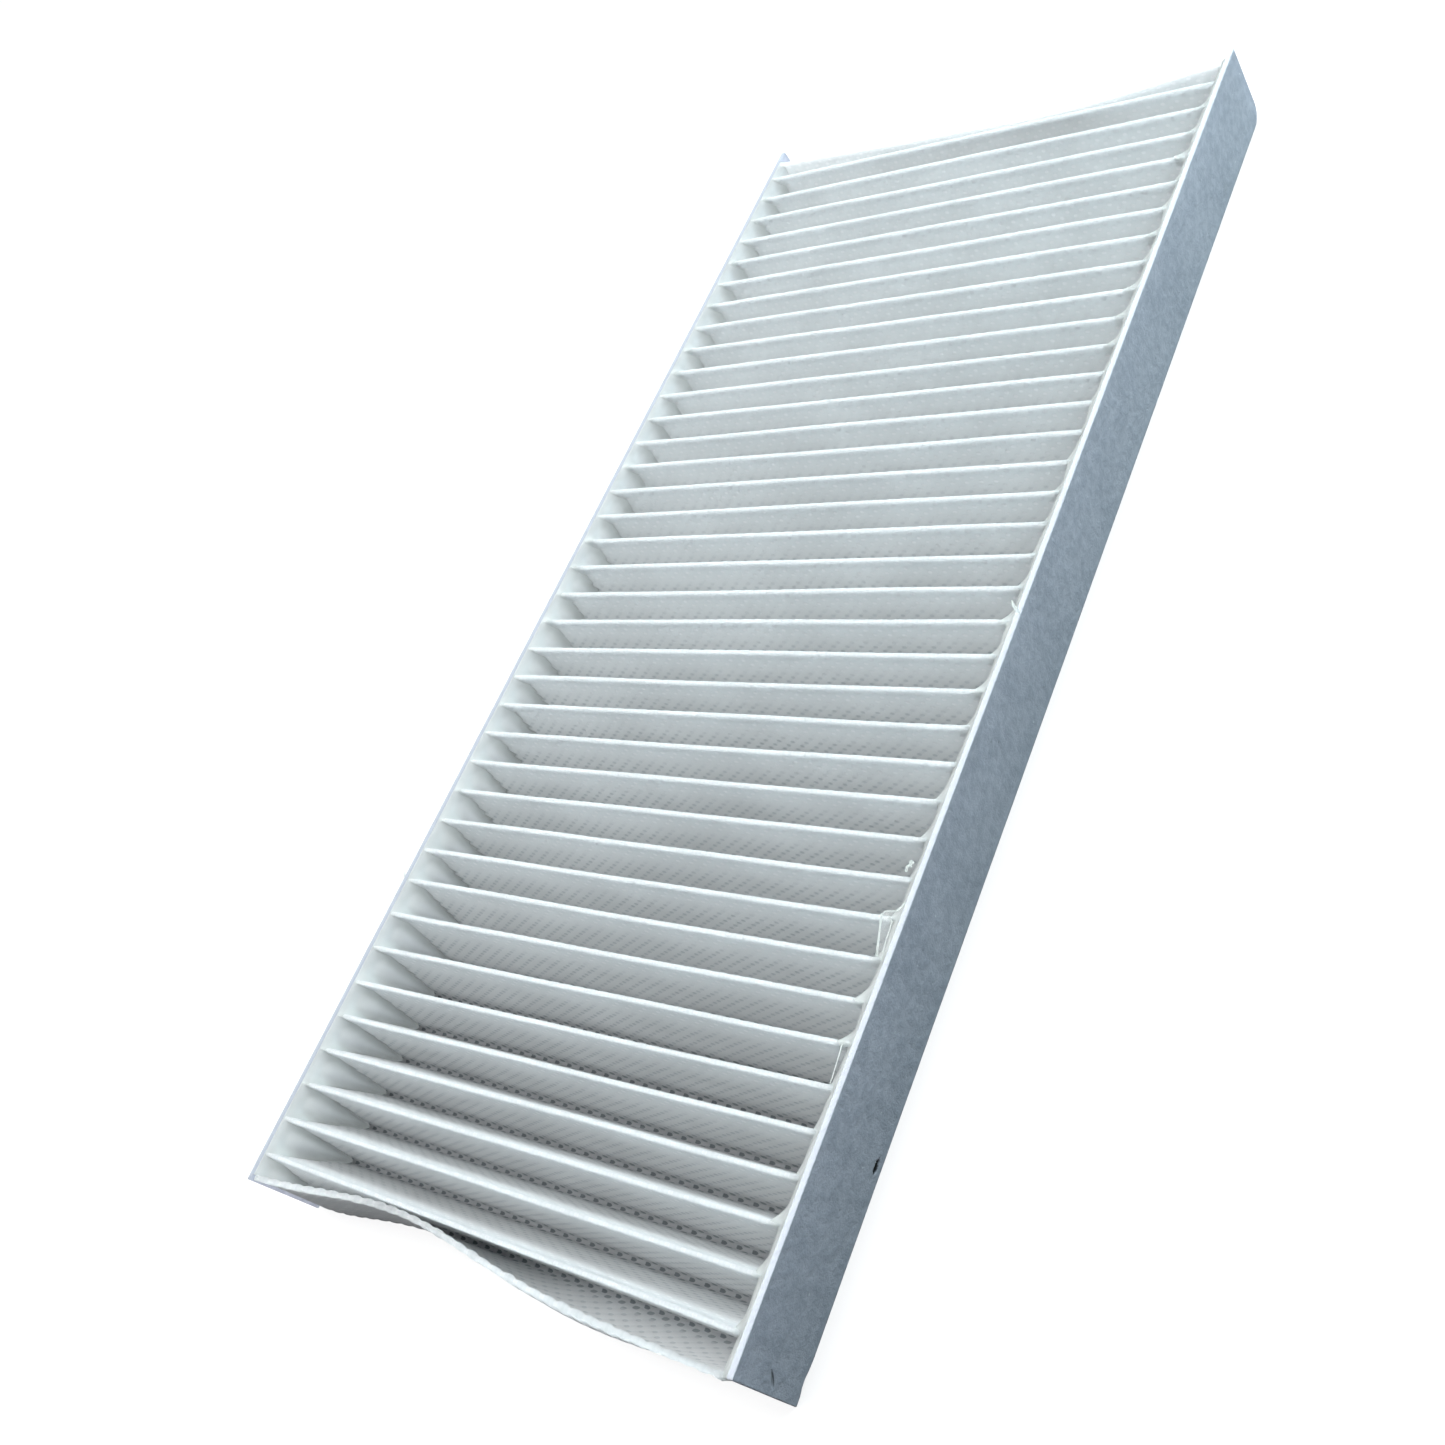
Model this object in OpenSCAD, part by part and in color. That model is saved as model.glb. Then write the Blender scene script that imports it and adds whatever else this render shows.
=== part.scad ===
// Slim pleated cabin air filter: one folded sheet, held by a glued band along each side.
// X runs across the sheet, Y along the bands from the near end to the far end, and Z is up.
// The filter lies on Z = 0, and the origin is under the middle of the right band's length.

/* [Pleats] */
// Distance from one bottom fold to the next
pitch = 8; // [6:0.5:12]
// Number of bottom folds
pleats = 38; // [8:1:60]
// Height over the folds
pack_h = 19.5; // [15:0.5:40]
// Width of the sheet between the two layers of glue
sheet_w = 134.8; // [80:0.2:250]
// Thickness of the sheet
sheet_t = 0.5; // [0.3:0.05:0.8]
// Radius on the inside of a fold
fold_inner_r = 0.15; // [0.1:0.05:0.5]

/* [Near free edge] */
// How far the middle of the near edge stands back
near_back = 0.4; // [0:0.1:2]
// How far the near edge leans out from its middle to the right band
near_lean = 1.5; // [0:0.1:2]
// Depth of the inward bow, left of the middle
near_bow_in = 3.9; // [0:0.1:4.5]
// Depth of the outward bow, right of the middle
near_bow_out = 1.2; // [0:0.1:3]
// How far the near panel bellies out between its fold and its free edge
near_belly = 2.8; // [0:0.1:4]
// How far the first bottom fold is pushed in
first_fold_in = 1.1; // [0:0.1:2]
// How far the left band draws the first bottom fold out again
first_fold_draw = 3; // [0:0.1:3.5]

/* [Far free edge] */
// Depth of the inward bow, right of the middle
far_bow_right = 4.7; // [0:0.1:5]
// Depth of the inward bow, left of the middle
far_bow_left = 2.5; // [0:0.1:4]

/* [Side bands] */
// Thickness of a side band
band_t = 1.4; // [0.8:0.1:3]
// How far the right band reaches out past the pleats at the near end
right_near_reach = 1.4; // [1.4:0.1:5]
// How far the left band stands back at the near end
left_near_back = 1.6; // [0:0.1:1.6]
// How far both bands reach out past the pleats at the far end
far_reach = 3.4; // [2:0.1:6]
// Radius of the lower corner of a band at the far end
corner_r = 4; // [1:0.5:6]

/* [Marks on the right band] */
// Length of the small pit
pit_l = 3; // [2:0.1:5]
// Height of the small pit
pit_h = 1.1; // [0.6:0.1:2]
// Depth of the small pit
pit_depth = 0.9; // [0.3:0.1:1.1]
// Distance from the near end of the pleats to the middle of the pit
pit_y = 39.8; // [10:0.2:45]
// Height of the middle of the pit
pit_z = 1.9; // [1.5:0.1:10]
// Depth of the nick in the lower edge near the corner
nick_depth = 0.45; // [0.2:0.05:1]
// Radius of the nick
nick_r = 7; // [3:0.5:12]
// Distance from the near end of the band to the middle of the nick
nick_y = 4.2; // [3.5:0.1:8]

/* [Glue] */
// Thickness of the glue between a band and the cut edge of the sheet
glue_t = 0.6; // [0.3:0.1:1.5]
// How far the glue stands into the pleats
glue_rise = 0.6; // [0.3:0.1:2]
// How far the glue stays below the top and above the bottom
glue_drop = 0.9; // [0.5:0.1:3]

/* [Hidden] */

// Flat pieces that a round arc of a fold is made of
fold_steps = 4;
// Flat pieces across the width of a bowed panel, and from its fold to its free edge
bow_steps = 24;
panel_steps = 6;
// Length of the tongues that join the bowed panels to the straight pleats
tongue_l = 1;
// How much thinner than the sheet a tongue is on each side
tongue_gap = 0.02;
// Reach of a cutter past the face that it cuts
over = 1;

fold_r = fold_inner_r + sheet_t / 2;
fold_outer_r = fold_inner_r + sheet_t;
half_pitch = pitch / 2;
pack_l = pleats * pitch;
right_band_l = right_near_reach + pack_l + far_reach;
left_band_l = pack_l + far_reach - left_near_back;
middle_y = right_band_l / 2 - right_near_reach;

// Angle of a panel from upright: the straight line that touches both of its folds
fold_rise = pack_h - 2 * fold_outer_r;
panel_lean = atan(half_pitch / fold_rise) - asin(2 * fold_r / norm([half_pitch, fold_rise]));
panel_up = [sin(panel_lean), cos(panel_lean)];
panel_down = [sin(panel_lean), -cos(panel_lean)];

// Middle line of the sheet round a fold, from the near side to the far side, as [y, z]
function bottom_fold(y) = [
    for (i = [0:fold_steps]) let (turn = 180 + panel_lean + i * (180 - 2 * panel_lean) / fold_steps)
    [y + fold_r * cos(turn), fold_outer_r + fold_r * sin(turn)]
];
function top_fold(y) = [
    for (i = [0:fold_steps]) let (turn = 180 - panel_lean - i * (180 - 2 * panel_lean) / fold_steps)
    [y + fold_r * cos(turn), pack_h - fold_outer_r + fold_r * sin(turn)]
];

// Points beside a line at a distance from it, with the last few points nearer to it
function heading(line, i) =
    let (step = line[min(i + 1, len(line) - 1)] - line[max(i - 1, 0)]) step / norm(step);
function beside(line, gap, tucked) = [
    for (i = [0:len(line) - 1])
    let (
        ahead = heading(line, i),
        inset = i < len(line) - tucked ? 0 : tongue_gap * sign(gap)
    )
    line[i] + (gap - inset) * [-ahead[1], ahead[0]]
];
function backwards(list) = [for (i = [len(list) - 1:-1:0]) list[i]];

// Outline of the sheet along its middle line
function sheet_outline(line, tucked = 0) =
    concat(beside(line, sheet_t / 2, tucked), backwards(beside(line, -sheet_t / 2, tucked)));

// The straight pleats run from the first top fold to the last one
first_top = top_fold(pitch)[0];
last_top = top_fold(pack_l - pitch)[fold_steps];
function straight_line() = concat(
    [first_top - 2 * tongue_l * panel_up],
    [for (i = [2:2 * pleats - 2]) each (i % 2 == 0 ? top_fold(i * half_pitch) : bottom_fold(i * half_pitch))],
    [last_top + 2 * tongue_l * panel_down]
);

// Shapes of the bows across the sheet, where u goes from -1 at the left to 1 at the right
function across(k) = -1 + 2 * k / bow_steps;
function hump(u, place, width) = exp(-pow((u - place) / width, 2));
function near_edge_y(u) = near_back - near_lean * u
    + near_bow_in * hump(u, -0.28, 0.39) - near_bow_out * hump(u, 0.49, 0.27);
function first_fold_y(u) = half_pitch + first_fold_in - first_fold_draw * hump(u, -1.04, 0.3);
function belly(u) = near_belly * hump(u, 0.6, 0.53);
function far_edge_y(u) = pack_l - far_bow_right * hump(u, 0.41, 0.52) - far_bow_left * hump(u, -0.3, 0.5);

// Middle line of the near panel and the one behind it, down to the first fold and up again
function near_line(u) =
    let (
        fold = bottom_fold(first_fold_y(u)),
        edge = [near_edge_y(u), pack_h - sheet_t / 4]
    )
    concat(
        [for (i = [panel_steps:-1:1]) let (s = i / panel_steps)
            fold[0] + s * (edge - fold[0]) - [belly(u) * sin(180 * s), 0]],
        fold,
        [for (i = [3:-1:1]) first_top - i * tongue_l * panel_up]
    );

// Middle line of the far panel, from its free edge down to the last fold and up to the pleats
function far_line(u) =
    let (
        fold = backwards(bottom_fold(pack_l - half_pitch)),
        edge = [far_edge_y(u), pack_h - sheet_t / 4]
    )
    concat(
        [for (i = [panel_steps:-1:1]) let (s = i / panel_steps) fold[0] + s * (edge - fold[0])],
        fold,
        [for (i = [3:-1:1]) last_top + i * tongue_l * panel_down]
    );

// Skin over a row of outlines across the sheet, whose middle four points are the tongue
module skin(outlines) {
    n = len(outlines[0]);
    m = len(outlines);
    points = [
        for (k = [0:m - 1]) for (i = [0:n - 1])
        let (tucked = abs(i - (n - 1) / 2) < 2 ? tongue_gap : 0)
        [across(k) * (sheet_w / 2 - tucked), outlines[k][i][0], outlines[k][i][1]]
    ];
    sides = [
        for (k = [0:m - 2]) for (i = [0:n - 1])
        let (j = (i + 1) % n, a = k * n + i, b = k * n + j)
        each [[a, b, b + n], [a, b + n, a + n]]
    ];
    caps = [[for (i = [n - 1:-1:0]) i], [for (i = [0:n - 1]) (m - 1) * n + i]];
    polyhedron(points, concat(sides, caps));
}

module bowed_near_end() {
    skin([for (k = [0:bow_steps]) sheet_outline(near_line(across(k)), 2)]);
}

module bowed_far_end() {
    skin([for (k = [0:bow_steps]) sheet_outline(far_line(across(k)), 2)]);
}

// Stands an outline in Y and Z up, and gives it a thickness along X from x0
module slab(x0, t) {
    translate([x0, 0, 0]) rotate([90, 0, 90]) linear_extrude(t) children();
}

module pleated_media() {
    color([0.80, 0.84, 0.84]) translate([0, -middle_y, 0]) {
        slab(-sheet_w / 2, sheet_w) polygon(sheet_outline(straight_line()));
        bowed_near_end();
        bowed_far_end();
    }
}

// Side view of a band, with its near end at y = 0
module band_outline(l) {
    difference() {
        square([l, pack_h]);
        difference() {
            translate([l - corner_r, -over]) square(corner_r + over);
            translate([l - corner_r, corner_r]) circle(corner_r, $fn = 48);
        }
    }
}

module pit_outline() {
    end_y = (pit_l - pit_h) / 2;
    translate([-end_y, 0]) circle(d = pit_h, $fn = 24);
    translate([end_y, 0]) circle(d = pit_h, $fn = 24);
    translate([-end_y, -pit_h / 2]) square([2 * end_y, pit_h]);
}

module side_band_right() {
    inner_x = sheet_w / 2 + glue_t;
    color([0.62, 0.67, 0.72]) translate([0, -middle_y, 0]) difference() {
        slab(inner_x, band_t) translate([-right_near_reach, 0]) difference() {
            band_outline(right_band_l);
            translate([nick_y, nick_depth - nick_r]) circle(nick_r, $fn = 96);
        }
        slab(inner_x + band_t - pit_depth, pit_depth + over) translate([pit_y, pit_z]) pit_outline();
    }
}

module side_band_left() {
    color([0.62, 0.67, 0.72]) translate([0, -middle_y, 0])
        slab(-sheet_w / 2 - glue_t - band_t, band_t)
        translate([left_near_back, 0]) band_outline(left_band_l);
}

// Glue that fills one valley against the panels beside it, between two heights
module valley_fill(y, z_fold, side) {
    z_touch = fold_outer_r - fold_inner_r * sin(panel_lean);
    w_touch = fold_inner_r * cos(panel_lean);
    z_open = pack_h - glue_drop;
    w_open = w_touch + (z_open - z_touch) * tan(panel_lean);
    translate([y, z_fold]) scale([1, side])
        polygon([[-w_touch, z_touch], [w_touch, z_touch], [w_open, z_open], [-w_open, z_open]]);
}

// Glue line of one side, from the band at x = 0 to the tips between the pleats
module glue_line(near_y) {
    far_y = pack_l + far_reach - corner_r / 2 - glue_drop;
    slab(0, glue_t) translate([near_y, glue_drop / 2]) square([far_y - near_y, pack_h - glue_drop]);
    slab(glue_t - over / 2, glue_rise + over / 2) for (i = [3:2 * pleats - 3])
        if (i % 2 == 1) valley_fill(i * half_pitch, 0, 1);
        else valley_fill(i * half_pitch, pack_h, -1);
}

module glue_right() {
    color([0.86, 0.89, 0.90]) translate([sheet_w / 2 + glue_t, -middle_y, 0]) mirror([1, 0, 0])
        glue_line(-right_near_reach);
}

module glue_left() {
    color([0.86, 0.89, 0.90]) translate([-sheet_w / 2 - glue_t, -middle_y, 0])
        glue_line(left_near_back);
}

pleated_media();
side_band_right();
side_band_left();
glue_right();
glue_left();
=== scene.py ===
"""Cabin air filter: one folded point-embossed fibre sheet, held between two felt bands by glue lines."""
from math import asin, atan, cos, exp, hypot, pi, radians, sin

import bmesh
import bpy
from bpy.props import FloatProperty, FloatVectorProperty, IntProperty, PointerProperty
from mathutils import Matrix, Vector, noise


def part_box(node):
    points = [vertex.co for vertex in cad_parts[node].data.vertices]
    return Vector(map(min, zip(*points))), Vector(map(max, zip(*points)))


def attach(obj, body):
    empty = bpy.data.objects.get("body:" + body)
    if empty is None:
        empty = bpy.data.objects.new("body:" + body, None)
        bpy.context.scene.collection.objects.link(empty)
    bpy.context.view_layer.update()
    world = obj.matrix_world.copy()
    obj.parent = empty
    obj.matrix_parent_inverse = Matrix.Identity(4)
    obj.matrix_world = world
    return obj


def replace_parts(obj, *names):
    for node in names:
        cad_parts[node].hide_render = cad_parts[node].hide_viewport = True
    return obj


bl_info = {
    "name": "Pleated Cabin Filter",
    "version": (1, 0, 0),
    "blender": (4, 5, 0),
    "location": "3D View > Sidebar > Filter",
    "description": "Builds a pleated cabin air filter with felt bands and glue lines",
    "category": "Add Mesh",
}

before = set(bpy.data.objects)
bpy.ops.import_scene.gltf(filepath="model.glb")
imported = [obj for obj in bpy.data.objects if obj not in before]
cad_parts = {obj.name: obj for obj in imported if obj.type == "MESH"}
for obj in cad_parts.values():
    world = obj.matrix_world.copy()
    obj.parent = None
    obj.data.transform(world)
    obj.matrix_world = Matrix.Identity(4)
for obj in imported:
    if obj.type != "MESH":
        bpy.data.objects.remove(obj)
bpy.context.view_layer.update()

MM = 0.001
BODY = "root"
SHEET_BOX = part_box("pleated_media")
BAND_BOX = {"right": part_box("side_band_right"), "left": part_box("side_band_left")}
# The pleats are counted from a line just behind the near end of the right band
NEAR_REACH = 1.4 * MM
NEAR_Y = BAND_BOX["right"][0][1] + NEAR_REACH
PACK_TOP = BAND_BOX["right"][1][2]


def length(name, text, default):
    """A property that holds a length in metres."""
    return FloatProperty(name=name, description=text, default=default, unit="LENGTH", precision=5)


def watts(name, text, default):
    """A property that holds a lamp's power."""
    return FloatProperty(name=name, description=text, default=default, unit="POWER")


def amount(name, text, default):
    """A property that holds a plain number."""
    return FloatProperty(name=name, description=text, default=default)


def colour(name, text, default):
    """A property that holds a linear colour."""
    return FloatVectorProperty(name=name, description=text, default=default, subtype="COLOR", size=3)


class SheetSizes(bpy.types.PropertyGroup):
    """Sizes of the folded sheet"""

    pleats: IntProperty(name="Pleats", description="Number of pleats", default=38)
    pitch: length("Pitch", "Distance from one ridge to the next", 8 * MM)
    thickness: length("Thickness", "Thickness of the sheet at a panel", 0.36 * MM)
    ridge_radius: length("Ridge radius", "Radius of the sheet's middle in a ridge", 0.36 * MM)
    valley_radius: length("Valley radius", "Radius of the sheet's middle in a valley", 0.72 * MM)
    dot_spacing: length("Dot spacing", "Distance between embossed dots in a row", 3.744 * MM)
    dent: length("Dent", "How far a dot in a fold is pressed in", 0.17 * MM)
    edge: length("Edge", "How much further each side of the cut edge stands out", 0.2 * MM)
    puff: length("Puff", "How far the cut edge swells between two dots", 0.34 * MM)
    wander: length("Wander", "How far a fold strays from its line", 0.22 * MM)
    warp: length("Warp", "How far a panel bows out of its plane", 0.28 * MM)
    rows_per_panel: IntProperty(name="Rows", description="Rows of dots from fold to fold", default=16)
    steps_per_dot: IntProperty(name="Steps", description="Mesh steps from one dot to the next", default=3)
    columns: IntProperty(name="Columns", description="Dots across the sheet", default=36)


class BandSizes(bpy.types.PropertyGroup):
    """Sizes of the felt bands"""

    corner: length("Corner", "Radius of the lower corner at the far end", 4 * MM)
    edge: length("Edge", "Rounding along the cut edges", 0.22 * MM)
    grid: length("Grid", "Distance between mesh lines in the felt", 1.5 * MM)
    relief: length("Relief", "Height of the felt's uneven face", 0.07 * MM)
    pit_y: length("Pit place", "Distance of the pit from the near end of the sheet", 39.8 * MM)
    pit_z: length("Pit height", "Height of the pit's middle", 1.9 * MM)
    pit_l: length("Pit length", "Length of the pit", 3 * MM)
    pit_h: length("Pit width", "Height of the pit", 1.1 * MM)
    pit_depth: length("Pit depth", "Depth of the pit", 0.9 * MM)
    crease_y: length("Crease Y", "Middle of the short crease, from the line of the near end", 1.1 * MM)
    crease_z: length("Crease Z", "Middle of the short crease above the lower edge", 9.3 * MM)
    crease_l: length("Crease length", "Length of the short crease", 3.7 * MM)
    crease_w: length("Crease width", "Width of the short crease", 0.85 * MM)
    crease_turn: FloatProperty(name="Crease turn", description="Slope of the short crease",
                               default=radians(41), subtype="ANGLE")
    spare: length("Spare", "How far the left band runs on past both its ends", 1.3 * MM)
    nick_y: length("Nick place", "Distance of the nick from the near end of the band", 4.2 * MM)
    nick_l: length("Nick length", "Half the length of the nick in the lower edge", 2.5 * MM)
    nick_depth: length("Nick depth", "Depth of the nick", 0.45 * MM)


class GlueSizes(bpy.types.PropertyGroup):
    """Sizes of the glue"""

    depth_right: length("Depth right", "Thickness of the glue at the right band", 1.5 * MM)
    fillet_right: length("Fillet right", "Run of the glue along the panels at the right band", 1.2 * MM)
    fillet_left: length("Fillet left", "Run of the glue along the panels at the left band", 4.0 * MM)
    fillet_width: length("Fillet width", "How far from a panel the glue starts to run along it", 1.8 * MM)
    depth_left: length("Depth left", "Thickness of the glue at the left band", 2.0 * MM)
    crown: length("Crown", "How far the glue stands above the ridges", 0.05 * MM)
    web: length("Web", "How far the glue runs along a ridge", 1.4 * MM)
    web_near: length("Web near", "Reach of a ridge's glue towards the near end", 0.35 * MM)
    web_far: length("Web far", "Reach of a ridge's glue towards the far end", 3.6 * MM)
    uneven: length("Uneven", "How far the glue's face strays", 0.25 * MM)
    sag: length("Sag", "How far the glue's top sinks between two ridges", 0.9 * MM)
    step: length("Step", "Distance between mesh lines along the glue", 0.5 * MM)
    thread: length("Thread", "Radius of a glue thread", 0.13 * MM)
    film: length("Film", "Thickness of the glue web", 0.1 * MM)


class FilterColours(bpy.types.PropertyGroup):
    """Colours of the filter"""

    fibre: colour("Fibre", "Sheet between the dots", (0.915, 0.93, 0.932))
    # Painted shade of the sheet deep in a valley
    valley: colour("Valley", "Sheet deep in a valley", (0.55, 0.58, 0.60))
    # Also painted as shade on dots low on a panel, on slanting lines and in a ridge's notches
    dot: colour("Dot", "Fused dots of the sheet", (0.62, 0.66, 0.68))
    # Painted shade of the fused dots in and beside a valley fold
    fold_dot_shade: colour("Fold dot", "Fused dots that lie in a fold", (0.28, 0.32, 0.34))
    felt: colour("Felt", "Felt of the bands", (0.635, 0.65, 0.72))
    felt_dark: colour("Dark felt", "Darker fibres of the felt", (0.475, 0.50, 0.57))
    cut: colour("Cut edge", "Felt along its cut edges", (0.54, 0.575, 0.63))
    stain: colour("Stain", "Faint warm patches on the right band", (0.60, 0.57, 0.54))
    # Painted shade inside the pit's hollow
    pit: colour("Pit", "Inside of the pit", (0.012, 0.013, 0.015))
    glue: colour("Glue", "Hot-melt glue", (0.75, 0.775, 0.76))


class StageSettings(bpy.types.PropertyGroup):
    """Camera and light"""

    lens: amount("Lens", "Focal length in millimetres", 38.25)
    place: FloatVectorProperty(name="Place", description="Where the camera stands", subtype="TRANSLATION",
                               default=(0.2255, -0.15625, 0.22868))
    aim: FloatVectorProperty(name="Aim", description="Point in the middle of the view without its shift",
                             subtype="TRANSLATION", default=(0.03967, -0.03865, 0.010))
    roll: FloatProperty(name="Roll", description="Turn of the camera about its line of sight",
                        default=radians(-43.94), subtype="ANGLE")
    shift_x: amount("Shift X", "Sideways shift of the view", -0.0993)
    shift_y: amount("Shift Y", "Upward shift of the view", 0.0329)
    overhead: watts("Overhead", "Power of the softbox above the middle", 8.5)
    far: watts("Far", "Power of the softbox above the far end", 6.5)
    near: watts("Near", "Power of the softbox above the near end", 12.0)
    left: watts("Left", "Power of the softbox behind the left band", 6.5)
    corner: watts("Corner", "Power of the softbox at the far right corner", 5.2)
    sky: amount("Sky", "Strength of the light from above", 0.92)
    ground: amount("Ground", "Strength of the light from below", 0.035)
    shade: amount("Shade", "Share of the sky that is missing on the right", 0.95)
    sky_tint: colour("Sky tint", "Colour of the light from above", (0.98, 1.0, 1.05))


def hump(u, place, width):
    """A smooth bump of height 1 across the sheet, where u goes from -1 at the left to 1 at the right."""
    return exp(-(((u - place) / width) ** 2))


def follow(curve, place):
    """Height of a line drawn through (place, height) points."""
    for (a, low), (b, high) in zip(curve, curve[1:]):
        if place <= b:
            return low + (high - low) * (place - a) / (b - a)
    return curve[-1][1]


def add_object(name, data):
    """Put a new object into the scene, at the origin."""
    made = bpy.data.objects.new(name, data)
    bpy.context.scene.collection.objects.link(made)
    return made


def finish_piece(bm, name, surface, smooth=True):
    """Turn a bmesh into an object at the origin, which rides on the part's one body."""
    bmesh.ops.recalc_face_normals(bm, faces=bm.faces)
    mesh = bpy.data.meshes.new(name)
    bm.to_mesh(mesh)
    bm.free()
    for polygon in mesh.polygons:
        polygon.use_smooth = smooth
    mesh.materials.append(surface)
    piece = add_object(name, mesh)
    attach(piece, BODY)
    return piece


def draw_out(bm, sections):
    """Close a skin over a row of rings. Every ring is a list of (place, weave) with as many points."""
    point_of = bm.verts.layers.int.new("point")
    weave = bm.verts.layers.float_vector.new("weave")
    verts, edges, ends = [], [], []

    def settle(section):
        for vert in verts:
            vert.co, vert[weave] = section[vert[point_of]]

    for number, section in enumerate(sections):
        if number == 0:
            verts = [bm.verts.new() for _ in section]
            for i, vert in enumerate(verts):
                vert[point_of] = i
            edges = [bm.edges.new((verts[i - 1], verts[i])) for i in range(len(verts))]
            settle(section)
            ends += bmesh.ops.contextual_create(bm, geom=edges)["faces"]
            continue
        drawn = bmesh.ops.extrude_edge_only(bm, edges=edges)["geom"]
        verts = [g for g in drawn if isinstance(g, bmesh.types.BMVert)]
        new = set(verts)
        edges = [g for g in drawn if isinstance(g, bmesh.types.BMEdge) and new.issuperset(g.verts)]
        settle(section)
    ends += bmesh.ops.contextual_create(bm, geom=edges)["faces"]
    bmesh.ops.triangulate(bm, faces=ends, ngon_method="EAR_CLIP")


# Materials


class Nodes:
    """The nodes of a new material or world, with short calls that add and join them."""

    def __init__(self, owner, output="ShaderNodeOutputMaterial"):
        self.owner = owner
        owner.use_nodes = True
        self.tree = owner.node_tree
        self.tree.nodes.clear()
        self.output = self.add(output)

    def add(self, kind, inputs=None, **settings):
        """Add a node, give it its settings, and fill or link its inputs."""
        node = self.tree.nodes.new(kind)
        for key, value in settings.items():
            setattr(node, key, value)
        for key, value in (inputs or {}).items():
            self.fill(node.inputs[key], value)
        return node

    def fill(self, socket, value):
        """Link a socket to another node's output, or set it."""
        if isinstance(value, bpy.types.NodeSocket):
            self.tree.links.new(value, socket)
        else:
            socket.default_value = value

    def math(self, operation, a, b=0.0, c=0.0):
        node = self.add("ShaderNodeMath", {0: a, 1: b, 2: c}, operation=operation)
        return node.outputs[0]

    def times(self, a, b):
        return self.math("MULTIPLY", a, b)

    def plus(self, a, b):
        return self.math("ADD", a, b)

    def minus(self, a, b):
        return self.math("SUBTRACT", a, b)

    def step(self, value, low, high):
        """0 below low, 1 above high and smooth in between. Low may be above high."""
        node = self.add("ShaderNodeMapRange", {"Value": value, "From Min": low, "From Max": high},
                        interpolation_type="SMOOTHSTEP")
        return node.outputs["Result"]

    def mix(self, share, a, b):
        """Mix two colours."""
        node = self.add("ShaderNodeMix", data_type="RGBA")
        self.fill(node.inputs["Factor"], share)
        self.fill(node.inputs["A"], a)
        self.fill(node.inputs["B"], b)
        return [s for s in node.outputs if s.type == "RGBA"][0]

    def object_place(self, scale=(1, 1, 1), shift=(0, 0, 0)):
        """Object coordinates, scaled and then shifted."""
        place = self.add("ShaderNodeTexCoord").outputs["Object"]
        node = self.add("ShaderNodeMapping", {"Vector": place, "Scale": scale, "Location": shift})
        return node.outputs["Vector"]

    def split(self, vector):
        """A vector's three parts."""
        return self.add("ShaderNodeSeparateXYZ", {"Vector": vector}).outputs

    def noise(self, vector, scale, detail, roughness=0.55):
        node = self.add("ShaderNodeTexNoise", {"Vector": vector, "Scale": scale, "Detail": detail,
                                               "Roughness": roughness})
        return node.outputs["Fac"]

    def bump(self, height, distance):
        return self.add("ShaderNodeBump", {"Height": height, "Distance": distance}).outputs["Normal"]

    def blend(self, share, a, b):
        """Mix two shaders."""
        return self.add("ShaderNodeMixShader", {0: share, 1: a.outputs[0], 2: b.outputs[0]})

    def close(self, shader):
        self.fill(self.output.inputs["Surface"], shader.outputs[0])
        return self.owner


WHITE = (1.0, 1.0, 1.0, 1.0)


def rgba(values, share=1.0):
    """A colour with its alpha, darkened to a share of itself."""
    return (*(value * share for value in values), 1.0)


def dot_masks(n, across, along, inside, rows):
    """The lattice of fused dots, and masks for all dots, for a valley's dots, which are painted dark as
    shade, and for a ridge's notches.
    """
    # Two waves meet on every dot: across counts dots, and along counts rows
    across_wave = n.math("COSINE", n.times(across, 2 * pi))
    along_wave = n.math("COSINE", n.times(along, pi))
    lattice = n.times(across_wave, along_wave)
    row = n.math("ABSOLUTE", n.minus(n.math("WRAP", along, rows, 0.0), rows / 2))
    valley = n.step(inside, 0.85, 0.95)
    beside_fold = n.times(n.step(row, rows / 2 - 2.3, rows / 2 - 1.5), valley)
    dot = n.step(n.plus(lattice, n.times(beside_fold, 0.25)), 0.46, 0.74)
    # Dots right in a valley fold are pulled out round the bend
    pulled = n.math("POWER", n.math("MAXIMUM", along_wave, 0.0), 0.3)
    round_dot = n.step(n.times(across_wave, pulled), 0.32, 0.55)
    fold_row = n.times(n.step(row, rows / 2 - 0.75, rows / 2 - 0.45), valley)
    beside_dot = n.times(n.times(dot, beside_fold), 0.7)
    fold_dot_shade = n.math("MAXIMUM", beside_dot, n.times(round_dot, fold_row))
    # Dots on both sides of a ridge notch it twice as often as they follow one another in a row
    notch = n.times(n.step(n.times(across_wave, across_wave), 0.55, 0.95), n.step(inside, 0.04, 0.0))
    return lattice, dot, fold_dot_shade, notch


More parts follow.
